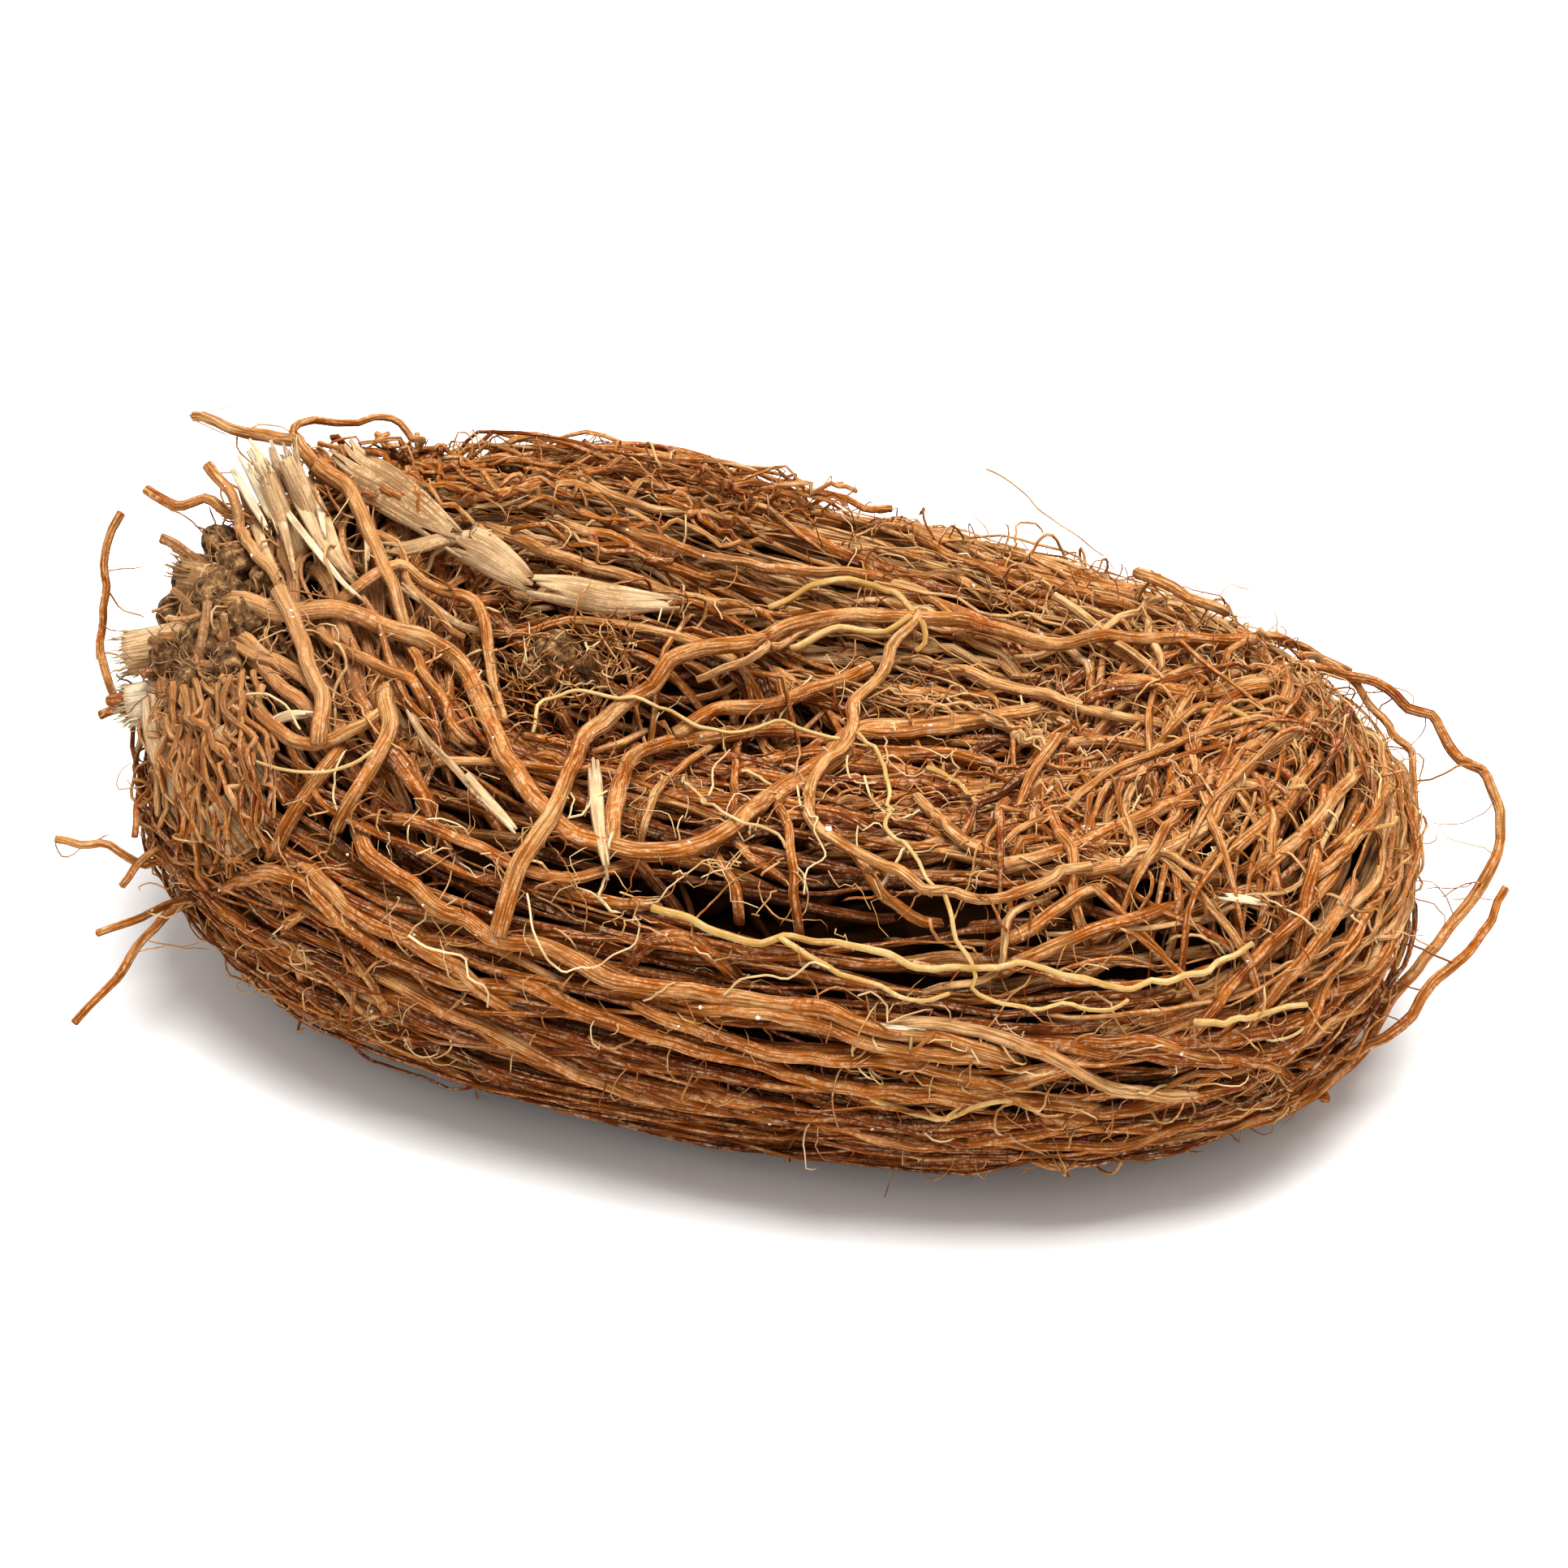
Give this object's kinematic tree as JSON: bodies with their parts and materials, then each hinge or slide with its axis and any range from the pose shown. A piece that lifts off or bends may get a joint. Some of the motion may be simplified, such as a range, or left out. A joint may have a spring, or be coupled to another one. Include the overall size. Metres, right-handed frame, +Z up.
{
  "type": "dried vetiver root",
  "caption": "Dried vetiver rootstock: a crown with cut culms, its long fibrous roots folded round into an oval nest.",
  "frame": {"origin": "middle of the small flat spot on the underside that the nest rests on", "axes": "+X along the nest from the crown to the folded end, +Y from the front strand to the back one, +Z up"},
  "size_m": [0.1774, 0.0936, 0.0612],
  "materials": {
    "root_bark": "dry, matt, grooved along the root, orange-brown",
    "culm": "dry, matt, fibrous, straw to cream",
    "leaf_sheath": "dry, matt, parallel-veined, straw",
    "young_root": "smooth, satin, pale yellow"
  },
  "bodies": {
    "root": {"rootstock": "root_bark", "culm_base_1": "culm", "culm_base_2": "culm", "culm_base_3": "culm", "culm_joint_1": "culm", "culm_joint_2": "culm", "culm_stub_1": "culm", "culm_stub_2": "culm", "sheath_fibrous": "leaf_sheath", "sheath_strip": "leaf_sheath", "sheath_oval": "leaf_sheath", "sheath_pointed": "leaf_sheath", "sheath_front": "leaf_sheath", "young_root_1": "young_root", "young_root_2": "young_root", "young_root_3": "young_root"}
  },
  "joints": []
}
